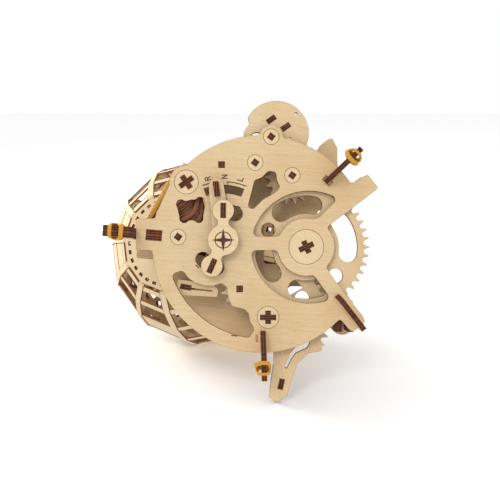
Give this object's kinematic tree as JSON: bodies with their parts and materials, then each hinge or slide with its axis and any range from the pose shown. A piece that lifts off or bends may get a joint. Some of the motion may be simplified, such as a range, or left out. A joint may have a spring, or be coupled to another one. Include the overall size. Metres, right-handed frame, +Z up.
{
  "type": "wooden 3d jigsaw model",
  "caption": "Laser-cut plywood mechanical globe: a lattice globe on a leaning axis above a geared base with a winding lever, selector and rubber motor.",
  "frame": {"origin": "under the centre of the base disc, at the floor", "axes": "+Z up along the gear axles; +X towards the two control arms, -X towards the left leg that carries the rubber motor's anchor; +Y towards the winding lever's handle"},
  "size_m": [0.1612, 0.1676, 0.1887],
  "materials": {
    "birch_ply": "unfinished birch plywood with laser-browned edges",
    "pale_birch_ply": "pale unfinished birch plywood",
    "burnt_edge_ply": "laser-burnt plywood edge showing its plies",
    "amber_rubber": "translucent amber rubber band"
  },
  "bodies": {
    "frame": {"base_plate": "birch_ply", "top_plate": "birch_ply", "left_leg_front": "burnt_edge_ply", "left_leg_rear": "burnt_edge_ply", "right_leg": "burnt_edge_ply", "lower_leg": "burnt_edge_ply", "arm_rib": "burnt_edge_ply", "left_foot_bands": "amber_rubber", "right_foot_band": "amber_rubber", "lower_foot_band": "amber_rubber", "gear_posts": "burnt_edge_ply", "stay_posts": "burnt_edge_ply", "click_spring": "birch_ply", "spring_post": "burnt_edge_ply", "band_anchor": "burnt_edge_ply", "meridian_arm_front": "pale_birch_ply", "meridian_arm_rear": "pale_birch_ply", "arm_brackets": "birch_ply", "pole_bearings": "birch_ply", "motor_band": "amber_rubber"},
    "main_shaft": {"main_axle": "burnt_edge_ply", "main_disc": "pale_birch_ply", "main_gear": "birch_ply"},
    "winding_pinion_body": {"winding_pinion": "birch_ply"},
    "winding_crank": {"winding_lever": "birch_ply", "lever_axle": "burnt_edge_ply", "lever_disc": "pale_birch_ply", "lever_grip": "burnt_edge_ply"},
    "step_pinion_body": {"step_pinion": "birch_ply"},
    "second_shaft": {"second_axle": "burnt_edge_ply", "second_pinion": "birch_ply", "transfer_gear": "birch_ply", "second_gear": "birch_ply"},
    "governor_shaft": {"governor_axle": "burnt_edge_ply", "governor_wheel": "birch_ply", "governor_pinion": "birch_ply"},
    "motor_idler_body": {"motor_idler": "birch_ply"},
    "motor_shaft": {"motor_axle": "burnt_edge_ply", "motor_disc": "pale_birch_ply", "motor_drum": "birch_ply", "motor_gear": "birch_ply"},
    "selector": {"selector_plate": "birch_ply", "selector_arm": "birch_ply", "selector_pins": "burnt_edge_ply"},
    "upper_idler_body": {"upper_idler": "birch_ply"},
    "lower_idler_body": {"lower_idler": "birch_ply"},
    "release": {"release_lever": "birch_ply", "release_axle": "burnt_edge_ply", "release_tabs": "burnt_edge_ply"},
    "output_shaft": {"output_axle": "burnt_edge_ply", "output_gear": "birch_ply", "output_roller": "amber_rubber"},
    "globe": {"globe_axle": "burnt_edge_ply", "globe_wheel": "birch_ply", "globe_caps": "pale_birch_ply", "globe_ring": "birch_ply", "meridian_ribs": "birch_ply", "meridian_strips": "pale_birch_ply", "latitude_slats": "pale_birch_ply", "land_sheets": "pale_birch_ply"}
  },
  "joints": [
    {"name": "main_turn", "type": "hinge", "parent": "frame", "child": "main_shaft", "pos_m": [0.025, 0.0018, 0.02], "axis": [0, 0, 1], "continuous": true},
    {"name": "winding_lever_swing", "type": "hinge", "parent": "frame", "child": "winding_crank", "pos_m": [0.00385, 0.04059, 0.026], "axis": [0, 0, 1], "range_deg": [-58, 0]},
    {"name": "winding_pinion_turn", "type": "hinge", "parent": "frame", "child": "winding_pinion_body", "pos_m": [0.025, 0.0018, 0.026], "axis": [0, 0, 1], "range_deg": [-2, 200]},
    {"name": "step_pinion_turn", "type": "hinge", "parent": "frame", "child": "step_pinion_body", "pos_m": [-0.01176, 0.02486, 0.023], "axis": [0, 0, 1], "continuous": true},
    {"name": "second_turn", "type": "hinge", "parent": "frame", "child": "second_shaft", "pos_m": [0.01731, -0.03776, 0.023], "axis": [0, 0, 1], "continuous": true},
    {"name": "governor_turn", "type": "hinge", "parent": "frame", "child": "governor_shaft", "pos_m": [-0.00321, -0.04482, 0.023], "axis": [0, 0, 1], "continuous": true},
    {"name": "motor_idler_turn", "type": "hinge", "parent": "frame", "child": "motor_idler_body", "pos_m": [-0.02177, -0.04369, 0.03], "axis": [0, 0, 1], "continuous": true},
    {"name": "motor_turn", "type": "hinge", "parent": "frame", "child": "motor_shaft", "pos_m": [-0.04121, -0.03404, 0.03], "axis": [0, 0, 1], "continuous": true},
    {"name": "selector_swing", "type": "hinge", "parent": "frame", "child": "selector", "pos_m": [-0.0207, -0.0018, 0.017], "axis": [0, 0, 1], "range_deg": [-8, 22]},
    {"name": "upper_idler_turn", "type": "hinge", "parent": "selector", "child": "upper_idler_body", "pos_m": [-0.0207, -0.0179, 0.03], "axis": [0, 0, 1], "continuous": true},
    {"name": "lower_idler_turn", "type": "hinge", "parent": "selector", "child": "lower_idler_body", "pos_m": [-0.02686, 0.01231, 0.03], "axis": [0, 0, 1], "continuous": true},
    {"name": "release_swing", "type": "hinge", "parent": "frame", "child": "release", "pos_m": [0.0057, -0.0592, 0.023], "axis": [0, 0, 1], "range_deg": [-10, 10]},
    {"name": "output_turn", "type": "hinge", "parent": "frame", "child": "output_shaft", "pos_m": [-0.0457, -0.0037, 0.023], "axis": [0, 0, 1], "continuous": true},
    {"name": "globe_turn", "type": "hinge", "parent": "frame", "child": "globe", "pos_m": [-0.0354, 0.0026, 0.118], "axis": [0.3874, 0.0944, 0.9171], "continuous": true}
  ],
  "couplings": [
    {"joint": "step_pinion_turn", "follows": "main_turn", "ratio": -3.6667},
    {"joint": "second_turn", "follows": "main_turn", "ratio": -5.5},
    {"joint": "governor_turn", "follows": "main_turn", "ratio": 9.9},
    {"joint": "motor_idler_turn", "follows": "main_turn", "ratio": -7.0714},
    {"joint": "motor_turn", "follows": "main_turn", "ratio": 7.0714},
    {"joint": "winding_pinion_turn", "follows": "winding_lever_swing", "ratio": -3.3846},
    {"joint": "output_turn", "follows": "globe_turn", "ratio": -2.1364}
  ]
}
